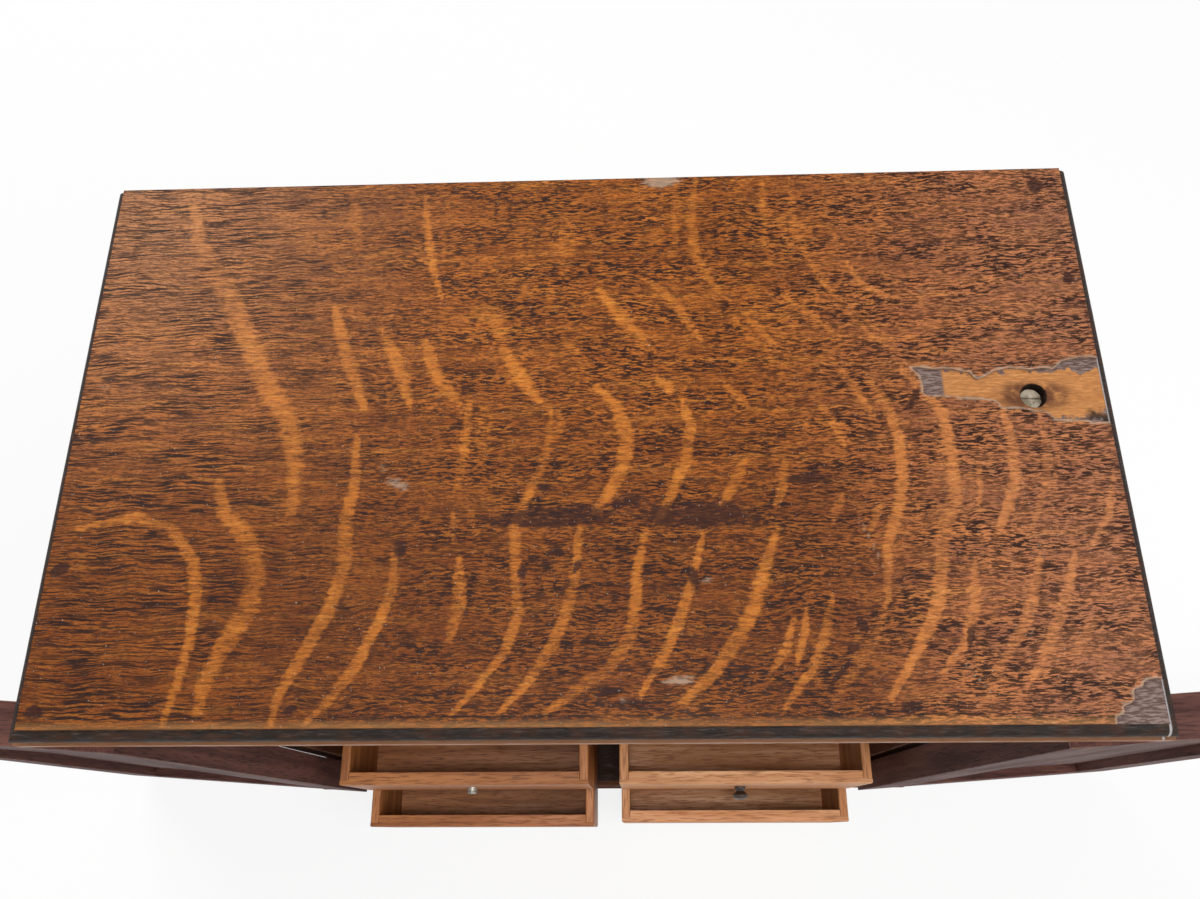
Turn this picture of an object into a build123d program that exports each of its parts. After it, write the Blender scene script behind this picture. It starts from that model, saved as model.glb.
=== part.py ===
from build123d import *
from math import cos, pi
import os

# Free-standing smoker's cabinet: an oak case with two inset doors on butt hinges and four small
# drawers below a shelf. Millimetres. +Z is up, the front faces -Y and the origin is the centre of
# the base board's underside. The doors stand fully open and the drawers are pulled part of the way.

# Case
board_width = 386.0
board_depth = 218.0
board_thickness = 13.0
cabinet_height = 368.0
veneer = 0.9
side_thickness = 12.5
side_overhang = 20.5
front_overhang = 15.8
back_thickness = 6.0
back_rabbet = 6.0
housing_depth = 3.0
interior_gap = 7.2

# Moulded edge of the top and base boards
fillet_height = 5.4
quirk_height = 1.6
bead_set_in = 0.8
field_margin = 0.6

# Doors
door_thickness = 15.0
door_gap = 0.8
meeting_gap = 1.2
open_angle = 184.0
stile_width = 28.5
rail_height = 30.0
tongue_thickness = 5.0
tongue_depth = 7.0
panel_thickness = 9.0
panel_bevel = 16.0
panel_play = 0.4
door_knob_z = 196.0
door_knob_tenon = 9.0

# Hinges
pin_radius = 1.3
pin_play = 0.05
knuckle_radius = 2.6
leaf_thickness = 1.5
leaf_width = 11.0
hinge_height = 22.0
hinge_end_gap = 2.0
pin_proud = 1.5
knuckle_play = 0.2
knuckle_count = 5
barrel_clearance = 0.4
hinge_screw_radius = 1.0
hinge_screw_length = 8.0
hinge_screw_reach = 6.8
hinge_screw_shares = (0.22, 0.78)

# Drawers
drawer_height = 64.5
front_thickness = 6.5
front_lip = 2.3
drawer_side_thickness = 4.8
drawer_bottom_thickness = 3.0
bottom_rise = 3.0
groove_depth = 2.4
drawer_run = 0.3
drawer_headroom = 0.8
drawer_side_play = 0.7
drawer_set_back = 2.0
drawer_back_gap = 7.0
arris = 0.5
upper_pull = 43.8
lower_left_pull = 64.1
lower_right_pull = 61.9
knob_hole_radius = 1.8
knob_fit = 0.05
knob_hole_depth = 4.6
knob_radius = 4.4
knob_length = 7.0
stub_radius = 2.7
stub_length = 3.4
back_drop = 2.0

# Interior
divider_thickness = 15.2
guide_thickness = 18.4
dust_board_thickness = 6.4
shelf_thickness = 9.5
rack_thickness = 9.0
rack_depth = 40.0
rack_height = 292.0
ledge_height = 196.0
ledge_depth = 46.0
notch_width = 15.0
notch_depth = 24.0
notch_count = 5
notch_pitch = 54.0
stop_length = 34.0
stop_width = 12.0
stop_height = 9.0

# Screws and plugs
screw_set_in = 3.6
screw_pitch = 70.0
screw_row_offset = 11.0
screw_head_radius = 3.9
screw_head_height = 1.8
screw_shank_radius = 2.0
screw_clearance = 0.05
screw_length = 23.0
slot_width = 0.9
slot_depth = 0.9
counterbore_radius = 4.75
counterbore_depth = 5.0
plug_clearance = 0.05

# Facets of small rounds: shanks and pins, then knuckles, screw heads and plugs
shank_facets = 8
round_facets = 16

# Losses in the veneer, as outlines on the top surface
loss_outline = [
    (121.0, 22.9), (133.0, 22.0), (141.8, 20.4), (143.8, 17.4), (149.3, 19.6), (153.4, 21.7),
    (161.0, 21.2), (171.7, 21.3), (175.5, 24.6), (181.9, 25.9), (200.0, 24.0), (200.0, -0.1),
    (181.0, 0.3), (174.2, 1.0), (169.5, 1.7), (167.8, 4.0), (158.6, 6.5), (151.6, 6.4),
    (149.2, 9.7), (139.4, 10.5), (124.0, 11.9), (124.6, 15.5), (123.5, 19.8),
]
corner_loss_outline = [
    (170.3, -112.0), (171.5, -102.3), (174.6, -101.3), (174.4, -99.2), (178.1, -97.4), (179.1, -93.9),
    (181.8, -93.2), (182.6, -90.6), (200.0, -90.2), (200.0, -112.0),
]

# Levels and planes that follow from the sizes above
front_y = -board_depth / 2
back_y = board_depth / 2
side_front_y = front_y + front_overhang
back_inner_y = back_y - back_thickness
top_underside = cabinet_height - board_thickness
core_top = cabinet_height - veneer
interior_front_y = side_front_y + door_thickness + interior_gap
outer_half_width = board_width / 2 - side_overhang
inner_half_width = outer_half_width - side_thickness
bead_radius = (board_thickness - fillet_height - quirk_height) / 2
field_set_in = bead_set_in + bead_radius + field_margin

drawer_cell = drawer_run + drawer_height + drawer_headroom
lower_drawer_z = board_thickness + drawer_run
dust_board_z = board_thickness + drawer_cell
upper_drawer_z = dust_board_z + dust_board_thickness + drawer_run
shelf_z = dust_board_z + dust_board_thickness + drawer_cell
guide_inner_x = inner_half_width - guide_thickness
drawer_inner_x = divider_thickness / 2 + drawer_side_play
drawer_outer_x = guide_inner_x - drawer_side_play
drawer_closed_y = interior_front_y + drawer_set_back
drawer_length = back_inner_y - drawer_back_gap - drawer_closed_y

door_bottom = board_thickness + door_gap
door_top = top_underside - door_gap
door_edge_x = inner_half_width - door_gap
hinge_x = inner_half_width - door_gap / 2
hinge_y = side_front_y - pin_proud
door_inner_y = side_front_y + door_thickness
lower_hinge_z = door_bottom + hinge_end_gap
upper_hinge_z = door_top - hinge_end_gap - hinge_height
hinge_axis = Axis((-hinge_x, hinge_y, 0), (0, 0, 1))
hinge_levels = (lower_hinge_z, upper_hinge_z)
knuckle_height = hinge_height / knuckle_count

screw_x = inner_half_width + screw_set_in
screw_rows = [screw_row_offset + row * screw_pitch for row in (-1, 0, 1)]
screw_places = [(side * screw_x, y) for side in (-1, 1) for y in screw_rows]
screw_bite = screw_length - (board_thickness - counterbore_depth) + veneer
hinge_screw_y = hinge_y + hinge_screw_reach
hinge_screw_places = [
    (hinge_screw_y, level + share * hinge_height) for level in hinge_levels for share in hinge_screw_shares
]
bare_screw = (screw_x, screw_row_offset)
head_align = (Align.CENTER, Align.CENTER, Align.MIN)
shank_align = (Align.CENTER, Align.CENTER, Align.MAX)

os.makedirs("parts", exist_ok=True)


def write(piece, label):
    """Label a finished piece and write it as its own file."""
    piece.label = label
    export_step(piece, f"parts/{label}.step")


def slab(x, y, z, mode=Mode.ADD):
    """Add or cut a rectangular board, groove or housing between pairs of coordinates."""
    with Locations((x[0], y[0], z[0])):
        Box(x[1] - x[0], y[1] - y[0], z[1] - z[0], align=(Align.MIN, Align.MIN, Align.MIN), mode=mode)


class Rod(BasePartObject):
    """A small round drawn with flat facets; one that is around its radius leaves that radius free."""

    def __init__(
        self,
        radius,
        height,
        facets=shank_facets,
        around=False,
        rotation=(0, 0, 0),
        align=head_align,
        mode=Mode.ADD,
    ):
        reach = radius / cos(pi / facets) if around else radius
        outline = Wire.make_polygon(
            [Vector(reach, 0, 0).rotate(Axis.Z, 360 * turn / facets) for turn in range(facets)]
        )
        prism = Solid.extrude(Face(outline), Vector(0, 0, height))
        super().__init__(part=prism, rotation=rotation, align=align, mode=mode)


def moulded_edge(tip, inward, bottom, top):
    """Draw the edge moulding from the underside to the field: fillet, bead and quirk."""

    def at(set_in, height):
        return (tip + inward * set_in, bottom + height)

    bead_centre = bead_set_in + bead_radius
    bead_top = fillet_height + 2 * bead_radius
    Polyline(at(0, 0), at(0, fillet_height), at(bead_centre, fillet_height))
    ThreePointArc(
        at(bead_centre, fillet_height),
        at(bead_set_in, fillet_height + bead_radius),
        at(bead_centre, bead_top),
    )
    Polyline(at(bead_centre, bead_top), at(field_set_in, bead_top), at(field_set_in, top - bottom))


def moulded_board(bottom, top):
    """Make a board with the moulding mitred round its front and sides and a square back edge."""
    half_width = board_width / 2
    with BuildPart() as board:
        with BuildSketch(Plane.YZ):
            with BuildLine():
                moulded_edge(front_y, 1, bottom, top)
                Polyline(
                    (front_y + field_set_in, top), (back_y, top), (back_y, bottom), (front_y, bottom)
                )
            make_face()
        extrude(amount=half_width, both=True)
        with BuildSketch(Plane.XZ):
            with BuildLine():
                moulded_edge(-half_width, 1, bottom, top)
                Line((field_set_in - half_width, top), (half_width - field_set_in, top))
                moulded_edge(half_width, -1, bottom, top)
                Line((half_width, bottom), (-half_width, bottom))
            make_face()
        extrude(amount=board_depth / 2, both=True, mode=Mode.INTERSECT)
    return board.part


def screw_seat():
    """Cut a counterbored screw hole down through a board."""
    for radius, depth, facets in (
        (counterbore_radius, counterbore_depth, round_facets),
        (screw_shank_radius + screw_clearance, board_thickness, shank_facets),
    ):
        Rod(radius, depth, facets=facets, around=True, align=shank_align, mode=Mode.SUBTRACT)


# Top board, with counterbored screw holes over the side panels
with BuildPart() as top_board:
    add(moulded_board(top_underside, core_top))
    with Locations(*[(x, y, core_top) for x, y in screw_places]):
        screw_seat()
write(top_board.part, "top_board")

# Oak veneer over the field of the top, broken away at the right-hand side and the front corner
with BuildPart() as top_veneer:
    with BuildSketch(Plane.XY.offset(core_top)):
        with Locations((0, field_set_in / 2)):
            Rectangle(board_width - 2 * field_set_in, board_depth - field_set_in)
        for outline in (loss_outline, corner_loss_outline):
            with BuildLine():
                Polyline(*outline, close=True)
            make_face(mode=Mode.SUBTRACT)
    extrude(amount=veneer)
write(top_veneer.part, "top_veneer")

# Plugs that fill the counterbores above the screw heads, all but the bared one
with BuildPart() as top_plugs:
    plug_bottom = core_top - counterbore_depth + screw_head_height
    with Locations(*[(x, y, plug_bottom) for x, y in screw_places if (x, y) != bare_screw]):
        Rod(counterbore_radius - plug_clearance, core_top - plug_bottom, facets=round_facets)
write(top_plugs.part, "top_plugs")

# Case screws: slotted round heads, driven down through the top and up through the base
with BuildPart() as case_screws:
    for seat, turn in ((core_top - counterbore_depth, 0), (counterbore_depth, 180)):
        with Locations(*[Location((x, y, seat), (turn, 0, 0)) for x, y in screw_places]):
            Rod(screw_head_radius, screw_head_height, facets=round_facets)
            Rod(screw_shank_radius, screw_length, align=shank_align)
    head_seat = counterbore_depth - screw_head_height
    for slot_middle in (core_top - head_seat, head_seat):
        with Locations(*[(x, y, slot_middle) for x, y in screw_places]):
            Box(2 * counterbore_radius, slot_width, 2 * slot_depth, mode=Mode.SUBTRACT)
write(case_screws.part, "case_screws")

# Base board
with BuildPart() as base_board:
    add(moulded_board(0, board_thickness))
    with Locations(*[Location((x, y, 0), (180, 0, 0)) for x, y in screw_places]):
        screw_seat()
write(base_board.part, "base_board")

# Sides: rabbeted for the back, housed for the shelf and dust board, let in for the hinge leaves
with BuildPart() as left_side:
    slab((-outer_half_width, -inner_half_width), (side_front_y, back_y), (board_thickness, top_underside))
    slab(
        (-inner_half_width - back_rabbet, -inner_half_width),
        (back_inner_y, back_y),
        (board_thickness, top_underside),
        mode=Mode.SUBTRACT,
    )
    for level, thickness in ((shelf_z, shelf_thickness), (dust_board_z, dust_board_thickness)):
        slab(
            (-inner_half_width - housing_depth, -inner_half_width),
            (interior_front_y, back_inner_y),
            (level, level + thickness),
            mode=Mode.SUBTRACT,
        )
    for level in hinge_levels:
        slab(
            (-inner_half_width - leaf_thickness, -inner_half_width),
            (hinge_y, hinge_y + leaf_width),
            (level, level + hinge_height),
            mode=Mode.SUBTRACT,
        )
        with Locations((-hinge_x, hinge_y, level)):
            Rod(
                knuckle_radius + barrel_clearance, hinge_height, facets=round_facets, around=True,
                mode=Mode.SUBTRACT,
            )
    with Locations(*[(-inner_half_width, y, z) for y, z in hinge_screw_places]):
        Rod(
            hinge_screw_radius + pin_play, hinge_screw_length, around=True, rotation=(0, -90, 0),
            mode=Mode.SUBTRACT,
        )
    screw_hole_radius = screw_shank_radius + screw_clearance
    for seat, align in ((top_underside, shank_align), (board_thickness, head_align)):
        with Locations(*[(-screw_x, y, seat) for y in screw_rows]):
            Rod(screw_hole_radius, screw_bite, around=True, align=align, mode=Mode.SUBTRACT)
write(left_side.part, "left_side")

with BuildPart() as right_side:
    mirror(left_side.part, about=Plane.YZ)
write(right_side.part, "right_side")

# Back panel
with BuildPart() as back_panel:
    slab(
        (-inner_half_width - back_rabbet, inner_half_width + back_rabbet),
        (back_inner_y, back_y),
        (board_thickness, top_underside),
    )
write(back_panel.part, "back_panel")

# Shelf over the drawers and dust board between them, both housed in the sides
for label, level, thickness in (
    ("shelf", shelf_z, shelf_thickness),
    ("dust_board", dust_board_z, dust_board_thickness),
):
    with BuildPart() as housed_board:
        slab(
            (-inner_half_width - housing_depth, inner_half_width + housing_depth),
            (interior_front_y, back_inner_y),
            (level, level + thickness),
        )
    write(housed_board.part, label)

# Dividers between the left and right drawers, and guides that fill in beside the drawers
for tier, level in (("lower", board_thickness), ("upper", dust_board_z + dust_board_thickness)):
    with BuildPart() as divider:
        slab(
            (-divider_thickness / 2, divider_thickness / 2),
            (interior_front_y, back_inner_y),
            (level, level + drawer_cell),
        )
    write(divider.part, f"{tier}_divider")
    with BuildPart() as left_guide:
        slab(
            (-inner_half_width, -guide_inner_x),
            (interior_front_y, back_inner_y),
            (level, level + drawer_cell),
        )
    write(left_guide.part, f"{tier}_left_guide")
    with BuildPart() as right_guide:
        mirror(left_guide.part, about=Plane.YZ)
    write(right_guide.part, f"{tier}_right_guide")

# Pipe rack in the upper compartment: a notched rail for the stems over a plain ledge for the bowls
with BuildPart() as rack_rail:
    rail_front_y = back_inner_y - rack_depth
    slab(
        (-inner_half_width, inner_half_width),
        (rail_front_y, back_inner_y),
        (rack_height, rack_height + rack_thickness),
    )
    with BuildSketch(Plane.XY.offset(rack_height)):
        for step in range(notch_count):
            notch_x = (step - (notch_count - 1) / 2) * notch_pitch
            straight = notch_depth - notch_width / 2
            with Locations((notch_x, rail_front_y + straight / 2)):
                Rectangle(notch_width, straight)
            with Locations((notch_x, rail_front_y + straight)):
                Circle(notch_width / 2)
    extrude(amount=rack_thickness, mode=Mode.SUBTRACT)
    front_edges = rack_rail.edges().filter_by(Axis.X).group_by(Axis.Y)[0]
    chamfer(front_edges, length=1.0)
write(rack_rail.part, "rack_rail")

with BuildPart() as rack_ledge:
    slab(
        (-inner_half_width, inner_half_width),
        (back_inner_y - ledge_depth, back_inner_y),
        (ledge_height, ledge_height + rack_thickness),
    )
    fillet(rack_ledge.edges().filter_by(Axis.X).group_by(Axis.Y)[0], radius=2.0)
write(rack_ledge.part, "rack_ledge")

# Stop block under the top, behind the meeting edges of the doors
with BuildPart() as door_stop:
    slab(
        (-stop_length / 2, stop_length / 2),
        (door_inner_y + knuckle_play, door_inner_y + knuckle_play + stop_width),
        (top_underside - stop_height, top_underside),
    )
    chamfer(door_stop.faces().sort_by(Axis.Z)[0].edges(), length=1.0)
write(door_stop.part, "door_stop")


def hinge_leaves(first_turn, plate_x):
    """Make one door's two leaves with their share of the knuckles; plate_x spans the plate."""
    with BuildPart() as leaves:
        for level in hinge_levels:
            slab(plate_x, (hinge_y, hinge_y + leaf_width), (level, level + hinge_height))
            with Locations((-hinge_x, hinge_y, level)):
                Rod(knuckle_radius, hinge_height, facets=round_facets)
            for turn in range(knuckle_count):
                if turn % 2 != first_turn:
                    cut_z = level + turn * knuckle_height - knuckle_play / 2
                    with Locations((-hinge_x, hinge_y, cut_z)):
                        Rod(
                            knuckle_radius + knuckle_play,
                            knuckle_height + knuckle_play,
                            facets=round_facets,
                            around=True,
                            mode=Mode.SUBTRACT,
                        )
            with Locations((-hinge_x, hinge_y, level)):
                Rod(pin_radius + pin_play, hinge_height, around=True, mode=Mode.SUBTRACT)
        with Locations(*[(plate_x[0], y, z) for y, z in hinge_screw_places]):
            Rod(
                hinge_screw_radius + pin_play, leaf_thickness, around=True, rotation=(0, 90, 0),
                mode=Mode.SUBTRACT,
            )
    return leaves.part


def leaf_screws(face_x, inward):
    """Make one door's hinge screws from the face of the leaf into the wood; inward is 1 or -1."""
    with BuildPart() as screws:
        with Locations(*[(face_x, y, z) for y, z in hinge_screw_places]):
            Rod(hinge_screw_radius, hinge_screw_length, rotation=(0, 90 * inward, 0))
    return screws.part


case_plate_x = (-inner_half_width - leaf_thickness, -inner_half_width)
door_plate_x = (-door_edge_x, -door_edge_x + leaf_thickness)

# Hinge leaves let into the sides, their screws, and the pins, which stay with the case
with BuildPart() as left_case_leaves:
    add(hinge_leaves(0, case_plate_x))
write(left_case_leaves.part, "left_case_leaves")

with BuildPart() as right_case_leaves:
    mirror(left_case_leaves.part, about=Plane.YZ)
write(right_case_leaves.part, "right_case_leaves")

with BuildPart() as case_leaf_screws:
    add(leaf_screws(-inner_half_width, -1))
    mirror(case_leaf_screws.part, about=Plane.YZ)
write(case_leaf_screws.part, "case_leaf_screws")

with BuildPart() as hinge_pins:
    with Locations(*[(side * hinge_x, hinge_y, level) for side in (-1, 1) for level in hinge_levels]):
        Rod(pin_radius, hinge_height)
write(hinge_pins.part, "hinge_pins")


def write_door_pair(closed_piece, name, other_piece=None):
    """Swing a piece of the closed left door open and write it, and its mirror image for the right.

    The right door is made from other_piece where its piece differs.
    """
    with BuildPart() as left_piece:
        add(closed_piece.rotate(hinge_axis, -open_angle))
    write(left_piece.part, f"left_door_{name}")
    with BuildPart() as right_piece:
        mirror((other_piece or closed_piece).rotate(hinge_axis, -open_angle), about=Plane.YZ)
    write(right_piece.part, f"right_door_{name}")


# Doors: grooved stiles, rails with stub tenons, and a panel fielded on its outer face
opening_x = (-door_edge_x + stile_width, -meeting_gap / 2 - stile_width)
opening_z = (door_bottom + rail_height, door_top - rail_height)
frame_middle_y = side_front_y + door_thickness / 2
tongue_y = (frame_middle_y - tongue_thickness / 2, frame_middle_y + tongue_thickness / 2)
frame_y = (side_front_y, side_front_y + door_thickness)
door_knob_x = (opening_x[1] - meeting_gap / 2) / 2

with BuildPart() as hinge_stile:
    slab((-door_edge_x, opening_x[0]), frame_y, (door_bottom, door_top))
    slab((opening_x[0] - tongue_depth, opening_x[0]), tongue_y, (door_bottom, door_top), mode=Mode.SUBTRACT)
    for level in hinge_levels:
        slab(
            door_plate_x, (hinge_y, hinge_y + leaf_width), (level, level + hinge_height), mode=Mode.SUBTRACT
        )
        with Locations((-hinge_x, hinge_y, level)):
            Rod(
                knuckle_radius + barrel_clearance, hinge_height, facets=round_facets, around=True,
                mode=Mode.SUBTRACT,
            )
    with Locations(*[(-door_edge_x, y, z) for y, z in hinge_screw_places]):
        Rod(
            hinge_screw_radius + pin_play, hinge_screw_length, around=True, rotation=(0, 90, 0),
            mode=Mode.SUBTRACT,
        )
write_door_pair(hinge_stile.part, "hinge_stile")

with BuildPart() as meeting_stile:
    slab((opening_x[1], -meeting_gap / 2), frame_y, (door_bottom, door_top))
    slab((opening_x[1], opening_x[1] + tongue_depth), tongue_y, (door_bottom, door_top), mode=Mode.SUBTRACT)

with BuildPart() as bored_stile:
    add(meeting_stile.part)
    with Locations((door_knob_x, side_front_y, door_knob_z)):
        Rod(
            knob_hole_radius + knob_fit, door_knob_tenon, around=True, rotation=(-90, 0, 0),
            mode=Mode.SUBTRACT,
        )
write_door_pair(meeting_stile.part, "meeting_stile", bored_stile.part)

for name, rail_z, groove_z in (
    ("bottom_rail", (door_bottom, opening_z[0]), (opening_z[0] - tongue_depth, opening_z[0])),
    ("top_rail", (opening_z[1], door_top), (opening_z[1], opening_z[1] + tongue_depth)),
):
    with BuildPart() as rail:
        slab(opening_x, frame_y, rail_z)
        slab((opening_x[0] - tongue_depth, opening_x[1] + tongue_depth), tongue_y, rail_z)
        slab(
            (opening_x[0] - tongue_depth, opening_x[1] + tongue_depth), tongue_y, groove_z, mode=Mode.SUBTRACT
        )
    write_door_pair(rail.part, name)

with BuildPart() as door_panel:
    reach = tongue_depth - panel_play
    slab(
        (opening_x[0] - reach, opening_x[1] + reach),
        tongue_y,
        (opening_z[0] - reach, opening_z[1] + reach),
    )
    opening_width = opening_x[1] - opening_x[0]
    opening_height = opening_z[1] - opening_z[0]
    panel_middle = (sum(opening_x) / 2, 0, sum(opening_z) / 2)
    field_rise = panel_thickness - tongue_thickness
    for margin, rise in ((panel_play, 0), (panel_bevel, field_rise)):
        origin = (panel_middle[0], tongue_y[0] - rise, panel_middle[2])
        with BuildSketch(Plane(origin=origin, x_dir=(1, 0, 0), z_dir=(0, -1, 0))):
            Rectangle(opening_width - 2 * margin, opening_height - 2 * margin)
    loft()
write_door_pair(door_panel.part, "panel")

with BuildPart() as door_leaves:
    add(hinge_leaves(1, door_plate_x))
write_door_pair(door_leaves.part, "leaves")

with BuildPart() as door_leaf_screws:
    add(leaf_screws(-door_edge_x, 1))
write_door_pair(door_leaf_screws.part, "leaf_screws")


def turned_knob(centre_x, face_y, centre_z, profile, tenon_length):
    """Turn a knob that stands out of the front; profile is (outward, radius) pairs from its foot."""
    foot = (centre_x, face_y, centre_z)
    with BuildPart() as knob:
        with Locations(foot):
            Rod(knob_hole_radius, tenon_length, rotation=(-90, 0, 0))
        with BuildSketch(Plane(foot, x_dir=(0, -1, 0), z_dir=(1, 0, 0))):
            with BuildLine():
                Polyline((profile[-1][0], 0), (profile[0][0], 0), *profile, close=True)
            make_face()
        revolve(axis=Axis(foot, (0, -1, 0)))
    return knob.part


# Brass knob of the right-hand door, on its meeting stile
door_knob_profile = ((0, 5.5), (1.5, 5.5), (5.0, 2.8), (9.5, 6.8), (13.0, 6.2), (15.3, 2.6))
with BuildPart() as door_knob:
    knob = turned_knob(door_knob_x, side_front_y, door_knob_z, door_knob_profile, door_knob_tenon)
    mirror(knob.rotate(hinge_axis, -open_angle), about=Plane.YZ)
write(door_knob.part, "right_door_knob")


def drawer_front(x, y, z):
    """Make a drawer front, rebated for the sides, grooved for the bottom and bored for a knob."""
    back_face = y + front_thickness
    with BuildPart() as front:
        slab(x, (y, back_face), (z, z + drawer_height))
        for end in (x[0], x[1] - drawer_side_thickness):
            slab(
                (end, end + drawer_side_thickness),
                (y + front_lip, back_face),
                (z, z + drawer_height),
                mode=Mode.SUBTRACT,
            )
        slab(
            (x[0] + drawer_side_thickness, x[1] - drawer_side_thickness),
            (back_face - groove_depth, back_face),
            (z + bottom_rise, z + bottom_rise + drawer_bottom_thickness),
            mode=Mode.SUBTRACT,
        )
        front_face = front.faces().sort_by(Axis.Y)[0]
        chamfer(front_face.edges(), length=arris)
        with Locations(((x[0] + x[1]) / 2, y, z + drawer_height / 2)):
            Rod(
                knob_hole_radius + knob_fit, knob_hole_depth, around=True, rotation=(-90, 0, 0),
                mode=Mode.SUBTRACT,
            )
    return front.part


def drawer_sides(x, y, z):
    """Make the pair of drawer sides, grooved on their inner faces for the bottom."""
    with BuildPart() as sides:
        for outer, inward in ((x[0], 1), (x[1], -1)):
            inner = outer + inward * drawer_side_thickness
            groove = inner - inward * groove_depth
            along = (y + front_lip, y + drawer_length)
            slab((min(outer, inner), max(outer, inner)), along, (z, z + drawer_height))
            slab(
                (min(groove, inner), max(groove, inner)),
                along,
                (z + bottom_rise, z + bottom_rise + drawer_bottom_thickness),
                mode=Mode.SUBTRACT,
            )
        top_faces = sides.faces().filter_by(Axis.Z).group_by(Axis.Z)[-1]
        chamfer(top_faces.edges().filter_by(Axis.Y), length=arris)
    return sides.part


# Four drawers, each with its front, pair of sides, back and bottom
drawer_plan = (
    ("upper_left", -1, upper_drawer_z, upper_pull),
    ("upper_right", 1, upper_drawer_z, upper_pull),
    ("lower_left", -1, lower_drawer_z, lower_left_pull),
    ("lower_right", 1, lower_drawer_z, lower_right_pull),
)
for place, hand, drawer_z, pull in drawer_plan:
    drawer_x = tuple(sorted((hand * drawer_inner_x, hand * drawer_outer_x)))
    drawer_y = drawer_closed_y - pull
    drawer_end_y = drawer_y + drawer_length
    write(drawer_front(drawer_x, drawer_y, drawer_z), f"{place}_drawer_front")
    write(drawer_sides(drawer_x, drawer_y, drawer_z), f"{place}_drawer_sides")
    with BuildPart() as drawer_bottom:
        slab(
            (
                drawer_x[0] + drawer_side_thickness - groove_depth,
                drawer_x[1] - drawer_side_thickness + groove_depth,
            ),
            (drawer_y + front_thickness - groove_depth, drawer_end_y),
            (drawer_z + bottom_rise, drawer_z + bottom_rise + drawer_bottom_thickness),
        )
    write(drawer_bottom.part, f"{place}_drawer_bottom")
    with BuildPart() as drawer_back:
        slab(
            (drawer_x[0] + drawer_side_thickness, drawer_x[1] - drawer_side_thickness),
            (drawer_end_y - drawer_side_thickness, drawer_end_y),
            (drawer_z + bottom_rise + drawer_bottom_thickness, drawer_z + drawer_height - back_drop),
        )
    write(drawer_back.part, f"{place}_drawer_back")

# Turned knob of the upper right drawer, and the bare post that is left on the upper left one
upper_front_y = drawer_closed_y - upper_pull
knob_z = upper_drawer_z + drawer_height / 2
knob_x = (drawer_inner_x + drawer_outer_x) / 2
knob_profile = (
    (0, 0.68 * knob_radius), (0.14 * knob_length, 0.68 * knob_radius),
    (0.34 * knob_length, 0.5 * knob_radius), (0.64 * knob_length, knob_radius),
    (0.88 * knob_length, 0.82 * knob_radius), (knob_length, 0.3 * knob_radius),
)
write(turned_knob(knob_x, upper_front_y, knob_z, knob_profile, knob_hole_depth), "upper_right_drawer_knob")

post_profile = ((0, stub_radius), (0.8 * stub_length, stub_radius), (stub_length, 0.8 * stub_radius))
write(turned_knob(-knob_x, upper_front_y, knob_z, post_profile, knob_hole_depth), "upper_left_drawer_post")

print("parts written:", len(os.listdir("parts")))
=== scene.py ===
"""Looks of an oak smoker's cabinet with open doors and pulled drawers, built over its CAD frame."""

import logging
import math
from dataclasses import dataclass
from enum import Enum

import bpy
import numpy as np
from mathutils import Matrix, Vector


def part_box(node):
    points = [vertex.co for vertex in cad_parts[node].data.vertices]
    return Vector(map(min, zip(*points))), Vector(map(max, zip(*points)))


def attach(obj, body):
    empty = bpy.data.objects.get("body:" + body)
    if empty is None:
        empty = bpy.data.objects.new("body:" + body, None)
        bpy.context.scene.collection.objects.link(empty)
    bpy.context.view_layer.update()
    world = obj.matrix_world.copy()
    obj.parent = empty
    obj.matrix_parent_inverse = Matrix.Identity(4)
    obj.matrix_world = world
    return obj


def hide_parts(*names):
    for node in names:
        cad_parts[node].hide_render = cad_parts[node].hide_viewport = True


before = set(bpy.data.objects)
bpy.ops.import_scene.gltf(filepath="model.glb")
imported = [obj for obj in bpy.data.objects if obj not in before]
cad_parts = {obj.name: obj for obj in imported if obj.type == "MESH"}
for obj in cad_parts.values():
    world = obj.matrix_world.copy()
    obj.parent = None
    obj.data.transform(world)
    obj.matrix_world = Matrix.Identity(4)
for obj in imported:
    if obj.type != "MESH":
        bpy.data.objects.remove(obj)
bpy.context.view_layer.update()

MM = 0.001
LOG = logging.getLogger("cabinet")
Tree = bpy.types.NodeTree
Socket = bpy.types.NodeSocket
Coats = list[tuple[Socket, str]]

# A point on the top in millimetres, a place in space, and where a mask starts and is full
Point = tuple[float, float]
Place = tuple[float, float, float]
Stretch = tuple[float, float]

# Numbers of the Mix node's sockets, for colours and for plain numbers
MIX_A, MIX_B, MIX_OUT = 6, 7, 2
MIX_PLAIN_A, MIX_PLAIN_B = 2, 3

WHITE = (1.0, 1.0, 1.0, 1.0)
TINY = 1e-9
NOISE_ROUGHNESS = 0.6
BUMP_STRENGTH = 0.6
BEVEL_SAMPLES = 4

# How well the softened normal follows the real one where an edge starts, and where it is full
EDGE_AGREEMENT = (0.995, 0.84)


class Grain(Enum):
    """Axis that the grain of a board runs along, as the turn that brings it to X."""

    X = (0.0, 0.0, 0.0)
    Y = (0.0, 0.0, -math.pi / 2)
    Z = (0.0, math.pi / 2, 0.0)


def linear(colour: str) -> tuple[float, float, float, float]:
    """Turn an sRGB hex colour into the linear colour that Blender's sockets hold.

    Args:
        colour: Six hex digits.

    Returns:
        Linear red, green, blue and an alpha of 1.
    """
    values = [int(colour[i : i + 2], 16) / 255 for i in (0, 2, 4)]
    done = [v / 12.92 if v <= 0.04045 else ((v + 0.055) / 1.055) ** 2.4 for v in values]
    return (*done, 1.0)


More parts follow.
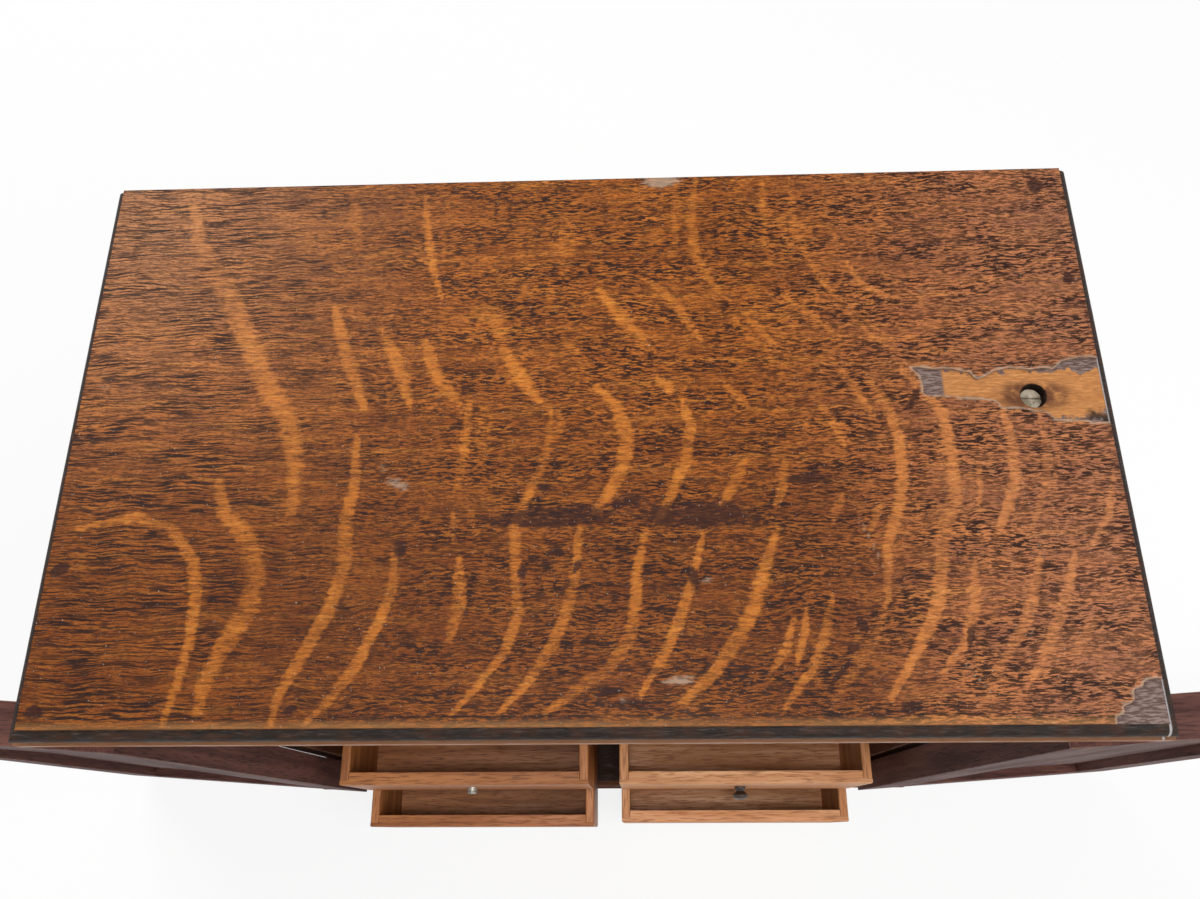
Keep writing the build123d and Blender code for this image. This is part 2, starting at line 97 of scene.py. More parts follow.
def put(
    tree: Tree, kind: str, values: dict | None = None, links: dict | None = None, **settings: object
) -> bpy.types.Node:
    """Add a shader node, set its properties and socket values, and link its inputs.

    Args:
        tree: Node tree of the material.
        kind: Node type, without the ShaderNode prefix.
        values: Socket name or number to value.
        links: Socket name or number to the output that feeds it.
        settings: Properties of the node itself.

    Returns:
        The new node.
    """
    node = tree.nodes.new("ShaderNode" + kind)
    for name, value in settings.items():
        setattr(node, name, value)
    for key, value in (values or {}).items():
        node.inputs[key].default_value = value
    for key, output in (links or {}).items():
        tree.links.new(output, node.inputs[key])
    return node


def start_material(name: str) -> tuple[bpy.types.Material, Tree, bpy.types.Node]:
    """Make an empty material with a Principled shader on its output.

    Args:
        name: Name of the finish.

    Returns:
        The material, its node tree and its shader node.
    """
    material = bpy.data.materials.new(name)
    material.use_nodes = True
    tree = material.node_tree
    tree.nodes.clear()
    shader = put(tree, "BsdfPrincipled")
    put(tree, "OutputMaterial", links={"Surface": shader.outputs["BSDF"]})
    return material, tree, shader


def coat(tree: Tree, base: str, layers: Coats) -> Socket:
    """Lay colours over a base colour, one after another, each where its mask shows.

    Args:
        tree: Node tree of the material.
        base: Base colour, as sRGB hex.
        layers: Mask and sRGB hex colour of each coat, lowest first.

    Returns:
        The finished colour.
    """
    colour = None
    for mask, shade in layers:
        values = {MIX_B: linear(shade)} if colour else {MIX_A: linear(base), MIX_B: linear(shade)}
        links = {0: mask, MIX_A: colour} if colour else {0: mask}
        colour = put(tree, "Mix", values, links, data_type="RGBA").outputs[MIX_OUT]
    return colour


def product(tree: Tree, first: Socket, *others: Socket | float) -> Socket:
    """Multiply a mask by other masks or plain numbers.

    Args:
        tree: Node tree of the material.
        first: The first mask.
        others: What it is multiplied by.

    Returns:
        The product.
    """
    for other in others:
        plain = isinstance(other, float)
        links = {0: first} if plain else {0: first, 1: other}
        first = put(tree, "Math", {1: other} if plain else None, links, operation="MULTIPLY").outputs[0]
    return first


def ramp(tree: Tree, value: Socket, start: float, end: float, full: float = 1.0) -> Socket:
    """Turn a value into a mask that rises smoothly from 0 at start to full at end.

    Args:
        tree: Node tree of the material.
        value: The value that is read.
        start: Value where the mask starts.
        end: Value where it is full.
        full: Mask where it is full.

    Returns:
        The mask.
    """
    limits = {"From Min": start, "From Max": end, "To Max": full}
    return put(tree, "MapRange", limits, {"Value": value}, interpolation_type="SMOOTHSTEP").outputs[0]


def spread(tree: Tree, mask: Socket, at_zero: float, at_one: float) -> Socket:
    """Turn a mask into a number that goes evenly from one level to another.

    Args:
        tree: Node tree of the material.
        mask: The mask that is read.
        at_zero: The number where the mask is 0.
        at_one: The number where the mask is 1.

    Returns:
        The number.
    """
    return put(tree, "MapRange", {"To Min": at_zero, "To Max": at_one}, {"Value": mask}).outputs[0]


def worn_edge(tree: Tree, radius: float) -> tuple[Socket, Socket]:
    """Find the edges of a piece by comparing its softened normal with its real one.

    Args:
        tree: Node tree of the material.
        radius: Radius of the softening in millimetres.

    Returns:
        A mask of the edges and the softened normal.
    """
    soft = put(tree, "Bevel", {"Radius": radius * MM}, samples=BEVEL_SAMPLES).outputs["Normal"]
    real = put(tree, "NewGeometry").outputs["Normal"]
    facing = put(tree, "VectorMath", links={0: soft, 1: real}, operation="DOT_PRODUCT").outputs["Value"]
    return ramp(tree, facing, *EDGE_AGREEMENT), soft


@dataclass(frozen=True)
class Marks:
    """Noise drawn out along a board and read as a mask.

    The length and width of one mark are in millimetres. The mask starts at the noise level low and is
    full at high. The shift moves the noise, so that two masks don't lie on each other.
    """

    length: float
    width: float
    low: float
    high: float
    detail: float = 3.0
    shift: float = 0.0

    def mask(self, tree: Tree, place: Socket) -> Socket:
        """Add the nodes of the mask.

        Args:
            tree: Node tree of the material.
            place: Coordinates with the grain along X.

        Returns:
            The mask.
        """
        stretch = (1 / (self.length * MM), 1 / (self.width * MM), 1 / (self.width * MM))
        drawn = put(tree, "Mapping", {"Scale": stretch, "Location": (self.shift,) * 3}, {"Vector": place})
        texture = {"Scale": 1.0, "Detail": self.detail, "Roughness": NOISE_ROUGHNESS}
        noise = put(tree, "TexNoise", texture, {"Vector": drawn.outputs[0]})
        return ramp(tree, noise.outputs["Fac"], self.low, self.high)


def finish_shader(
    tree: Tree,
    shader: bpy.types.Node,
    colour: Socket,
    height: Socket,
    depth: float,
    roughness: tuple[Socket, float, float],
    normal: Socket | None = None,
) -> None:
    """Link a colour, a relief and a mottled gloss to a shader.

    Args:
        tree: Node tree of the material.
        shader: Its Principled node.
        colour: Base colour.
        height: Mask of what lies low in the surface.
        depth: How deep that is, in millimetres.
        roughness: A mask, and the roughness where it is 0 and where it is 1.
        normal: Softened normal, if the edges are softened.
    """
    links = {"Height": height, "Normal": normal} if normal else {"Height": height}
    bump = put(tree, "Bump", {"Strength": BUMP_STRENGTH, "Distance": depth * MM}, links, invert=True)
    tree.links.new(colour, shader.inputs["Base Color"])
    tree.links.new(spread(tree, *roughness), shader.inputs["Roughness"])
    tree.links.new(bump.outputs["Normal"], shader.inputs["Normal"])


@dataclass(frozen=True)
class Oak:
    """Sawn, stained and polished oak: open pores along the grain, soft bands, and edges rubbed pale.

    Colours are sRGB hex and lengths are in millimetres. Pores are about 0.3 mm wide on real oak and
    are drawn wider, so that they show in the render.
    """

    name: str
    light: str
    mid: str
    dark: str
    worn: str
    smooth: float = 0.42
    dulling: float = 0.18
    gleam: float = 0.4
    band_strength: float = 0.85
    blotch_strength: float = 0.4
    pore_strength: float = 0.7
    pore_depth: float = 0.12
    edge_wear: float = 0.6
    edge_radius: float = 0.7
    grain: Grain = Grain.X
    shift: float = 0.0

    def material(self) -> bpy.types.Material:
        """Build the node material.

        Returns:
            The finished material.
        """
        material, tree, shader = start_material(self.name)
        place = put(tree, "TexCoord").outputs["Object"]
        turn = {"Rotation": self.grain.value, "Location": (self.shift,) * 3}
        turned = put(tree, "Mapping", turn, {"Vector": place}).outputs["Vector"]
        pores = Marks(9.0, 0.8, 0.5, 0.66).mask(tree, turned)
        bands = Marks(90.0, 4.0, 0.36, 0.66, 5.0, 3.1).mask(tree, turned)
        blotch = Marks(110.0, 11.0, 0.35, 0.7, 4.0, 7.3).mask(tree, turned)
        rubbed = Marks(7.0, 7.0, 0.35, 0.6, 3.0, 1.7).mask(tree, place)
        edge, soft = worn_edge(tree, self.edge_radius)
        colour = coat(
            tree,
            self.mid,
            [
                (product(tree, bands, self.band_strength), self.light),
                (product(tree, blotch, self.blotch_strength), self.dark),
                (product(tree, pores, self.pore_strength), self.dark),
                (product(tree, edge, rubbed, self.edge_wear), self.worn),
            ],
        )
        shader.inputs["Specular IOR Level"].default_value = self.gleam
        roughness = (blotch, self.smooth, self.smooth + self.dulling)
        finish_shader(tree, shader, colour, pores, self.pore_depth, roughness, soft)
        return material


@dataclass(frozen=True)
class Metal:
    """Cast or drawn metal with a dull skin of tarnish: mottled colour, rough where it is tarnished.

    Colours are sRGB hex and lengths are in millimetres.
    """

    name: str
    bright: str
    tarnish: str
    smooth: float
    metallic: float = 1.0
    mottle: float = 3.0
    dulling: float = 0.3
    skin_depth: float = 0.04

    def material(self) -> bpy.types.Material:
        """Build the node material.

        Returns:
            The finished material.
        """
        material, tree, shader = start_material(self.name)
        place = put(tree, "TexCoord").outputs["Object"]
        skin = Marks(self.mottle, self.mottle, 0.4, 0.62, 5.0).mask(tree, place)
        shader.inputs["Metallic"].default_value = self.metallic
        colour = coat(tree, self.bright, [(skin, self.tarnish)])
        roughness = (skin, self.smooth, self.smooth + self.dulling)
        finish_shader(tree, shader, colour, skin, self.skin_depth, roughness)
        return material


@dataclass(frozen=True)
class MouldedBoard:
    """Core of the top or base: a dark stained bead, a brown fillet below it, and a plain field.

    Where the veneer of the top is broken away the field is bare oak, pale along its middle, grey with
    old glue at its rim and dark round the screw hole. Levels and stretches are in metres. A stretch
    lies along X if its name says left or right, and along Y if it says back, front or corner. The halo
    is a distance from the hole.
    """

    name: str
    fillet_level: float
    field_level: float
    bead: str = "17100D"
    bead_streak: str = "2A201B"
    fillet: str = "A87450"
    field: str = "A86E3C"
    field_streak: str = "BE8450"
    field_fibre: str = "7E5230"
    bared: bool = False
    hole: Point = (163.6, 11.0)
    halo: Stretch = (0.0076, 0.0036)
    halo_squeeze: Place = (0.42, 1.0, 0.0)
    crumb_scale: float = 260.0
    crumb_push: float = 0.012
    glue_back: Stretch = (0.0200, 0.0212)
    glue_front: Stretch = (0.0034, 0.0022)
    glue_left: Stretch = (0.1325, 0.1310)
    glue_corner: Stretch = (-0.080, -0.085)
    burnt_left: Stretch = (0.1800, 0.1830)
    burnt_back: Stretch = (0.0060, 0.0045)
    burnt_front: Stretch = (-0.020, -0.010)
    # Limits in X of the painted highlight along the ledge of the top's moulding on the right
    highlight_ledge_left: Stretch = (0.1884, 0.1887)
    highlight_ledge_right: Stretch = (0.1896, 0.1890)
    facing_up: Stretch = (0.85, 0.95)
    blur: float = 0.0001
    edge_radius: float = 0.6
    gleam: float = 0.14
    smooth: float = 0.42
    rough: float = 0.66
    fibre_depth: float = 0.12

    def glue_and_dark_marks(self, tree: Tree, place: Socket, fibres: Socket) -> Coats:
        """Find where the bared field holds old glue, a dark halo round the hole and a burnt spot.

        Args:
            tree: Node tree of the material.
            place: Object coordinates.
            fibres: Mask of the torn fibres.

        Returns:
            Mask and colour of each coat, lowest first.
        """
        axes = put(tree, "SeparateXYZ", links={0: place}).outputs
        texture = {"Scale": self.crumb_scale, "Detail": 4.0}
        crumbs = put(tree, "TexNoise", texture, {"Vector": place}).outputs["Fac"]
        push = put(tree, "Math", {1: 0.5}, {0: crumbs}, operation="SUBTRACT").outputs[0]
        links = {0: push, 2: axes["Y"]}
        pushed = put(tree, "Math", {1: self.crumb_push}, links, operation="MULTIPLY_ADD").outputs[0]
        to_hole = {1: (self.hole[0] * MM, self.hole[1] * MM, self.field_level)}
        offset = put(tree, "VectorMath", to_hole, {0: place}, operation="SUBTRACT").outputs[0]
        squeeze = {1: self.halo_squeeze}
        squeezed = put(tree, "VectorMath", squeeze, {0: offset}, operation="MULTIPLY").outputs[0]
        distance = put(tree, "VectorMath", links={0: squeezed}, operation="LENGTH").outputs["Value"]
        # Darker round the screw hole, fading outwards
        halo = product(tree, ramp(tree, distance, *self.halo), ramp(tree, crumbs, 0.2, 0.6), 0.9)
        glued = (
            ramp(tree, pushed, *self.glue_back),
            ramp(tree, pushed, *self.glue_front),
            ramp(tree, axes["X"], *self.glue_left),
            ramp(tree, axes["Y"], *self.glue_corner),
        )
        burnt = product(
            tree,
            ramp(tree, axes["X"], *self.burnt_left),
            ramp(tree, pushed, *self.burnt_back),
            ramp(tree, axes["Y"], *self.burnt_front),
            ramp(tree, crumbs, 0.35, 0.55),
            0.9,
        )
        coats = [(halo, "4A281A")]
        for mask in glued:
            coats += [(mask, "523E38"), (product(tree, mask, fibres, 0.7), "8C7973")]
        return coats + [(burnt, "1A1311")]

    def material(self) -> bpy.types.Material:
        """Build the node material.

        Returns:
            The finished material.
        """
        material, tree, shader = start_material(self.name)
        place = put(tree, "TexCoord").outputs["Object"]
        axes = put(tree, "SeparateXYZ", links={0: place}).outputs
        streak = Marks(22.0, 0.9, 0.36, 0.66, 4.0).mask(tree, place)
        specks = Marks(5.0, 0.6, 0.52, 0.68, 4.0, 4.0).mask(tree, place)
        fibres = Marks(3.2, 0.6, 0.42, 0.6, 4.0, 9.0).mask(tree, place)
        rubbed = Marks(9.0, 6.0, 0.42, 0.64, 3.0, 2.0).mask(tree, place)
        edge, soft = worn_edge(tree, self.edge_radius)
        below = ramp(tree, axes["Z"], self.fillet_level + self.blur, self.fillet_level - self.blur, 0.85)
        moulding = [
            (product(tree, streak, 0.8), self.bead_streak),
            (product(tree, rubbed, 0.25), "5A3826"),
            (product(tree, specks, 0.30), "5E5652"),
            (product(tree, edge, rubbed, 0.35), "8F7768"),
            (below, self.fillet),
        ]
        bare = [
            (product(tree, streak, 0.75), self.field_streak),
            (product(tree, fibres, 0.5), self.field_fibre),
        ]
        if self.bared:
            bare += self.glue_and_dark_marks(tree, place, fibres)
            # Painted highlight: a pale strip along the ledge of the top's moulding on the right side
            ledge = [ramp(tree, axes["X"], *self.highlight_ledge_left), ramp(tree, axes["X"], *self.highlight_ledge_right)]
            moulding.append((product(tree, *ledge, 0.75), "B9B4B6"))
        up = put(tree, "SeparateXYZ", links={0: put(tree, "NewGeometry").outputs["Normal"]}).outputs["Z"]
        high = ramp(tree, axes["Z"], self.field_level - 2 * self.blur, self.field_level - self.blur)
        field = product(tree, high, ramp(tree, up, *self.facing_up))
        edge_colour = coat(tree, self.bead, moulding)
        bare_colour = coat(tree, self.field, bare)
        links = {0: field, MIX_A: edge_colour, MIX_B: bare_colour}
        colour = put(tree, "Mix", links=links, data_type="RGBA").outputs[MIX_OUT]
        shader.inputs["Specular IOR Level"].default_value = self.gleam
        roughness = (rubbed, self.smooth, self.rough)
        finish_shader(tree, shader, colour, fibres, self.fibre_depth, roughness, soft)
        return material


@dataclass(frozen=True)
class Ray:
    """One pale ray fleck of quarter-sawn oak: points along its middle and its width, in millimetres."""

    path: tuple[Point, ...]
    width: float = 3.0
    strength: float = 1.0


@dataclass(frozen=True)
class Spot:
    """One knot, stain or scuff: centre and half sizes in millimetres, and turn in degrees."""

    centre: Point
    half: Point
    turn: float = 0.0
    strength: float = 1.0


RAYS = (
    Ray(
        (
            (-158, 100), (-154, 84), (-147, 72), (-138, 58), (-129, 40), (-120, 22), (-109, 6),
            (-104, -12), (-104, -30),
        ),
        7.0,
        0.8,
    ),
    Ray(((-93, 104), (-91, 88), (-88, 76)), 5.0, 0.45),
    Ray(((-96, 52), (-91, 36), (-86, 22), (-81, 10)), 4.2),
    Ray(
        ((-83, -2), (-82, -18), (-84, -34), (-83, -50), (-87, -65), (-94, -80), (-101, -93), (-103, -104)),
        4.0,
    ),
    Ray(((-66, -44), (-65, -56), (-69, -69), (-76, -84), (-85, -97), (-92, -104)), 3.2),
    Ray(
        (
            (-132, -18), (-128, -30), (-118, -40), (-114, -52), (-115, -64), (-122, -78), (-127, -90),
            (-128, -100),
        ),
        6.0,
        0.9,
    ),
    Ray(
        (
            (-180, -35), (-160, -31), (-146, -36), (-137, -47), (-134, -60), (-134, -76), (-136, -90),
            (-139, -103),
        ),
        3.6,
        0.9,
    ),
    Ray(((-176, 42), (-168, 38), (-160, 44)), 14.0, 0.3),
    Ray(((-64, 102), (-62, 86), (-59, 70), (-55, 56)), 2.6, 0.9),
    Ray(((-77, 42), (-72, 32), (-67, 20), (-64, 11)), 4.4, 0.8),
    Ray(((-60, 37), (-56, 25), (-50, 16), (-46, 11)), 4.2, 0.9),
    Ray(((-42, 50), (-34, 47), (-31, 38)), 6.0, 0.7),
    Ray(((-31, 34), (-26, 26), (-21, 18), (-16, 12)), 4.6),
    Ray(
        (
            (-12, 8), (-12, -2), (-14, -12), (-19, -24), (-24, -36), (-23, -54), (-22, -68), (-26, -80),
            (-34, -90), (-43, -101),
        ),
        3.0,
    ),
    Ray(((-9, 7), (-11, -4)), 6.0, 0.5),
    Ray(((-42, 11), (-43, -6), (-45, -22)), 3.0, 0.8),
    Ray(((-35, 8), (-36, -8)), 8.0, 0.35),
    Ray(((-46, -30), (-45, -42)), 3.0, 0.5),
    Ray(((-43, -48), (-42, -62), (-45, -76)), 4.0, 0.8),
    Ray(((5, 17), (12, 9), (16, -2), (15, -12), (11, -22), (4, -31)), 4.4),
    Ray(((-1, -34), (-2, -50), (-5, -66), (-10, -78), (-18, -90), (-28, -101)), 3.2),
    Ray(((22, -38), (19, -52), (18, -64), (16, -76), (9, -86), (-2, -93), (-12, -100)), 3.6),
    Ray(((6, 58), (13, 48), (19, 40), (25, 33)), 4.0),
    Ray(((-8, 38), (-2, 31)), 3.6, 0.8),
    Ray(((24, 62), (33, 54), (39, 44), (45, 34)), 3.0, 0.8),
    Ray(((37, 108), (36, 92), (36, 76)), 3.0, 0.6),
    Ray(((45, 108), (42, 90), (43, 74), (49, 60), (56, 52)), 3.2, 0.8),
    Ray(((-7, 92), (-7, 64)), 7.0, 0.4),
    Ray(((27, 21), (33, 15)), 3.6, 0.9),
    Ray(((36, 11), (39, 1), (37, -12), (32, -24), (25, -37)), 3.4),
    Ray(((52, 17), (60, 8)), 3.0, 0.9),
    Ray(((58, -12), (54, -21), (49, -29)), 3.4),
    Ray(((42, -40), (37, -58), (32, -72), (26, -84), (19, -95)), 3.0),
    Ray(((68, -38), (63, -51), (58, -66), (51, -78), (42, -89), (33, -97)), 4.2),
    Ray(((57, 45), (63, 36), (70, 29)), 2.4, 0.8),
    Ray(((71, 107), (71, 82)), 3.0, 0.45),
    Ray(((82, 108), (82, 84), (87, 68), (94, 60)), 2.6, 0.5),
    Ray(((95, 106), (95, 88), (99, 76)), 2.0, 0.4),
    Ray(((101, 68), (106, 58), (117, 51)), 2.2, 0.8),
    Ray(((88, 65), (94, 55), (103, 45), (116, 33)), 2.0, 0.7),
    Ray(((75, 55), (84, 47), (96, 36)), 2.0, 0.8),
    Ray(((100, 45), (108, 36), (118, 29)), 2.0, 0.7),
    Ray(((116, 41), (125, 33), (136, 27)), 2.0, 0.8),
    Ray(((127, 56), (138, 53)), 2.6, 0.7),
    Ray(((145, 50), (158, 38)), 1.8, 0.5),
    Ray(((59, 49), (66, 40), (72, 32)), 2.6, 0.8),
    Ray(((95, 23), (100, 14), (105, 3)), 2.6, 0.8),
    Ray(((83, 12), (90, 3), (94, -9)), 2.6, 0.7),
    Ray(((104, 20), (110, 9), (113, -4), (113, -20), (110, -32), (105, -44), (103, -64)), 3.4),
    Ray(((102, -66), (98, -76), (91, -86), (82, -97)), 3.0, 0.7),
    Ray(
        (
            (117, 22), (124, 13), (130, 4), (131, -12), (130, -28), (124, -42), (122, -56), (118, -70),
            (110, -82), (101, -96),
        ),
        4.0,
    ),
    Ray(((128, 2), (129, -26)), 8.0, 0.35),
    Ray(((134, -50), (132, -66), (126, -80), (118, -88)), 2.8, 0.9),
    Ray(((140, -14), (139, -26), (137, -34)), 1.8, 0.7),
    Ray(((151, 7), (153, -6), (152, -20), (148, -32), (142, -42)), 3.4),
    Ray(((164, 3), (165, -10), (162, -24), (155, -39)), 2.6, 0.9),
    Ray(((168, 3), (168, -12), (165, -24)), 1.6, 0.7),
    Ray(((156, -49), (152, -62), (146, -75), (136, -87)), 3.2, 0.9),
    Ray(((168, -48), (163, -62), (156, -76), (147, -90)), 3.2, 0.9),
    Ray(((186, -20), (182, -34), (174, -46)), 2.4, 0.7),
    Ray(((172, -69), (166, -77), (160, -84)), 3.0, 0.7),
    Ray(((85, -62), (81, -76), (76, -87), (66, -99)), 3.0, 0.9),
    Ray(((76, -66), (74, -76), (71, -85)), 2.2, 0.9),
    Ray(((71, -70), (68, -80), (62, -88)), 2.6, 0.9),
    Ray(((72, -13), (71, -22), (68, -29)), 3.0),
    Ray(((91, -27), (87, -36)), 3.0, 0.9),
    Ray(((104, -30), (100, -39)), 2.4, 0.8),
    Ray(((92, -76), (90, -84)), 3.0, 0.7),
)

DARK_SPOTS = (
    Spot((-10, -33), (22, 3.6), 2, 0.75), Spot((40, -33), (20, 4.6), 0, 0.8),
    Spot((15, -29), (7, 4), 20, 0.6),
    Spot((-186, 0), (6, 1.6), 0, 0.7), Spot((-184, -50), (3, 2), 20), Spot((-183, -99), (3, 2), 0),
    Spot((-64, -44), (2.6, 3.0), 0, 0.8), Spot((-97, -99), (2.6, 1.6), 10, 0.8),
    Spot((-150, 71), (3, 1), 0, 0.7),
    Spot((-151, 92), (3, 0.9), -20, 0.7), Spot((-14, -22), (2.2, 1.5), 0), Spot((-21, -53), (1.5, 1.8), 0),
    Spot((-17, -48), (1.6, 1.2), 0), Spot((-13, -50), (1.4, 1.5), 30), Spot((-9, -46), (2.4, 1.2), -10),
    Spot((-2, -51), (1.2, 2.2), -30), Spot((38, -55), (1.6, 3.2), 15), Spot((17, -27), (3.4, 1.6), 10, 0.8),
    Spot((26, -66), (1.6, 1.2), 0, 0.8), Spot((8, -93), (6, 1.2), 0, 0.8), Spot((16, -97), (5, 1.0), 0, 0.9),
    Spot((79, -20), (6.5, 1.6), 4), Spot((92, 83), (3.0, 1.0), 0, 0.7), Spot((150, 77), (3.2, 1.2), 4, 0.8),
    Spot((184, 59), (2.0, 2.2), 0), Spot((178, 101), (2.6, 3.4), 0), Spot((184, -40), (5.0, 0.7), -6),
    Spot((94, -72), (1.6, 2.2), 20), Spot((90, -80), (2.6, 1.2), 30), Spot((85, -88), (5.0, 0.8), 48),
    Spot((129, -76), (1.0, 3.4), -12), Spot((107, -99), (3.2, 1.8), 8), Spot((41, -86), (5, 0.8), 40, 0.7),
    Spot((-55, -95), (2.0, 0.8), 0, 0.6), Spot((120, 10), (1.4, 6.0), -35, 0.7),
)

PALE_SPOTS = (
    Spot((31, 107.5), (6.0, 2.6), 4, 1.0), Spot((32, -90), (4.5, 1.2), 6, 0.8),
    Spot((43, -56), (2.0, 0.9), 20, 0.6), Spot((-66, -20), (4.5, 2.0), -20, 0.5),
    Spot((-72, -13), (1.6, 2.6), 0, 0.35), Spot((14, -96), (2.0, 0.8), 0, 0.5),
    Spot((130, 55), (5.0, 0.9), 0, 0.35), Spot((-178, 20), (5.0, 0.5), -8, 0.35),
    Spot((99, -42), (0.5, 12.0), 20, 0.5), Spot((128, -88), (10.0, 0.4), -52, 0.5),
    Spot((149, -75), (3.0, 0.5), 60, 0.4), Spot((180, -60), (0.6, 16.0), 8, 0.25),
)

# How far past half its path's extent a ray is looked for, in millimetres
RAY_MARGIN = 16

# Shares of a ray's width: what is left of it at its tips, and where it has faded from its middle line
RAY_TIP = 0.35
RAY_FADE = 0.66

# Share of a ray's length that each tip takes, how fully it swells, and how sharply it fades
RAY_END = 0.03
RAY_SWELL = 0.6
RAY_SHARPNESS = 4

# How far outside its ellipse a spot fades away, as a share of its half sizes
SPOT_FADE = 0.7

# Each field on the sheet's points, how far noise tears its outline, and where its mask starts and is full
FIELD_MASKS = (("ray", 0.9, 0.4, 1.5), ("dark", 0.6, 0.6, 1.05), ("pale", 0.6, 0.45, 1.2))
FIELD_PRESENT = (0.05, 0.4)


@dataclass
class TopSheet:
    """Quarter-sawn oak veneer of the top, a grid of cells with the broken places left out.

    The grid's points carry where the pale rays, dark spots and scuffs lie, so the finish can draw
    them where they are on the real board. Sizes and outlines are in millimetres. Stretches are in
    metres, along X if the name says left, right or short, and along Y if it says back or front.
    """

    cell: float = 1.3
    jag: float = 0.5
    step: float = 2.0
    first_seed: int = 3
    rim_strength: float = 0.9
    rim_end: float = 1.2
    rim_fade: float = 0.8
    ripple_scale: float = 55.0
    ripple_sway: float = 0.004
    short_pores: Stretch = (-0.15, -0.03)
    # Where the painted sheen starts and is full; towards the back left it is partly pale wear of old polish
    sheen_and_wear_left: Stretch = (-0.03, -0.19)
    sheen_right: Stretch = (0.05, 0.19)
    sheen_and_wear_back: Stretch = (-0.06, 0.11)
    # Where the painted shade on the front starts and is full, and where it stops towards the right
    shade_front: Stretch = (0.04, -0.07)
    shade_left: Stretch = (0.130, 0.085)
    worn_front: Stretch = (-0.1012, -0.1042)
    line_back: Stretch = (-0.1004, -0.1010)
    line_front: Stretch = (-0.1018, -0.1012)
    edge_radius: float = 0.5
    gleam: float = 0.12
    smooth: float = 0.4
    rough: float = 0.56
    pore_depth: float = 0.14
    loss: tuple[Point, ...] = (
        (121.0, 22.9), (133.0, 22.0), (141.8, 20.4), (143.8, 17.4), (149.3, 19.6), (153.4, 21.7),
        (161.0, 21.2), (171.7, 21.3), (175.5, 24.6), (181.9, 25.9), (200.0, 24.0), (200.0, -0.1),
        (181.0, 0.3), (174.2, 1.0), (169.5, 1.7), (167.8, 4.0), (158.6, 6.5), (151.6, 6.4),
        (149.2, 9.7), (139.4, 10.5), (124.0, 11.9), (124.6, 15.5), (123.5, 19.8),
    )
    corner_loss: tuple[Point, ...] = (
        (170.3, -112.0), (171.5, -102.3), (174.6, -101.3), (174.4, -99.2), (178.1, -97.4), (179.1, -93.9),
        (181.8, -93.2), (182.6, -90.6), (200.0, -90.2), (200.0, -112.0),
    )

    @staticmethod
    def ragged(outline: tuple[Point, ...], step: float, jag: float, seed: int) -> np.ndarray:
        """Split an outline into short steps and push each new point aside by a small random share.

        Args:
            outline: Corners of the closed outline.
            step: Length of a step.
            jag: Largest push.
            seed: Seed of the random pushes.

        Returns:
            Points of the ragged outline, one row each.
        """
        corners = np.array(outline, float)
        nexts = np.roll(corners, -1, axis=0)
        counts = np.maximum(1, (np.linalg.norm(nexts - corners, axis=1) / step).astype(int))
        parts = [a + (b - a) * np.arange(n)[:, None] / n for a, b, n in zip(corners, nexts, counts)]
        points = np.vstack(parts)
        return points + np.random.default_rng(seed).uniform(-jag, jag, points.shape)

    @staticmethod
    def inside(points: np.ndarray, outline: np.ndarray) -> np.ndarray:
        """Count crossings of a line along X to find which points lie inside a closed outline.

        Args:
            points: Points to test, one row each.
            outline: Points of the outline.

        Returns:
            True for each point inside.
        """
        x, y = points[:, :1], points[:, 1:]
        ax, ay = outline[:, 0], outline[:, 1]
        bx, by = np.roll(ax, -1), np.roll(ay, -1)
        crosses = (ay > y) != (by > y)
        at = ax + (y - ay) * (bx - ax) / np.where(by == ay, TINY, by - ay)
        return ((crosses & (x < at)).sum(axis=1) % 2).astype(bool)

    @staticmethod
    def nearest(points: np.ndarray, outline: np.ndarray) -> tuple[np.ndarray, np.ndarray]:
        """Find the nearest place on a closed outline for each point.

        Args:
            points: Points, one row each.
            outline: Points of the outline.

        Returns:
            The nearest places and their distances.
        """
        run = np.roll(outline, -1, axis=0) - outline
        share = ((points[:, None] - outline) * run).sum(2) / np.maximum((run**2).sum(1), TINY)
        foot = outline + np.clip(share, 0, 1)[..., None] * run
        distance = np.linalg.norm(points[:, None] - foot, axis=2)
        best = distance.argmin(1)
        rows = np.arange(len(points))
        return foot[rows, best], distance[rows, best]

    @staticmethod
    def ray_field(points: np.ndarray) -> np.ndarray:
        """Work out how strongly a ray shows at each point.

        A ray is flat along its middle line and fades steeply at its sides. Its width swells along the
        line, so that both ends come to a narrow tip.

        Args:
            points: Points on the top in millimetres.

        Returns:
            A strength from 0 to 1 for each point.
        """
        field = np.zeros(len(points))
        for ray in RAYS:
            path = np.array(ray.path, float)
            lengths = np.linalg.norm(np.diff(path, axis=0), axis=1)
            starts = np.concatenate([[0.0], np.cumsum(lengths)]) / lengths.sum()
            extent = np.ptp(path, axis=0) / 2 + RAY_MARGIN + ray.width
            near = (np.abs(points - path.mean(0)) < extent).all(1)
            some = points[near]
            best = np.full(len(some), np.inf)
            share = np.zeros(len(some))
            for a, b, start, end in zip(path[:-1], path[1:], starts[:-1], starts[1:]):
                along = np.clip(((some - a) @ (b - a)) / ((b - a) @ (b - a)), 0, 1)
                distance = np.linalg.norm(some - a - along[:, None] * (b - a), axis=1)
                closer = distance < best
                best = np.where(closer, distance, best)
                share = np.where(closer, start + along * (end - start), share)
            middle = np.sin(np.pi * np.clip(share, RAY_END, 1 - RAY_END)) ** RAY_SWELL
            reach = ray.width * RAY_FADE * (RAY_TIP + (1 - RAY_TIP) * middle)
            value = ray.strength * np.exp(-((best / reach) ** RAY_SHARPNESS))
            field[near] = np.maximum(field[near], value)
        return field

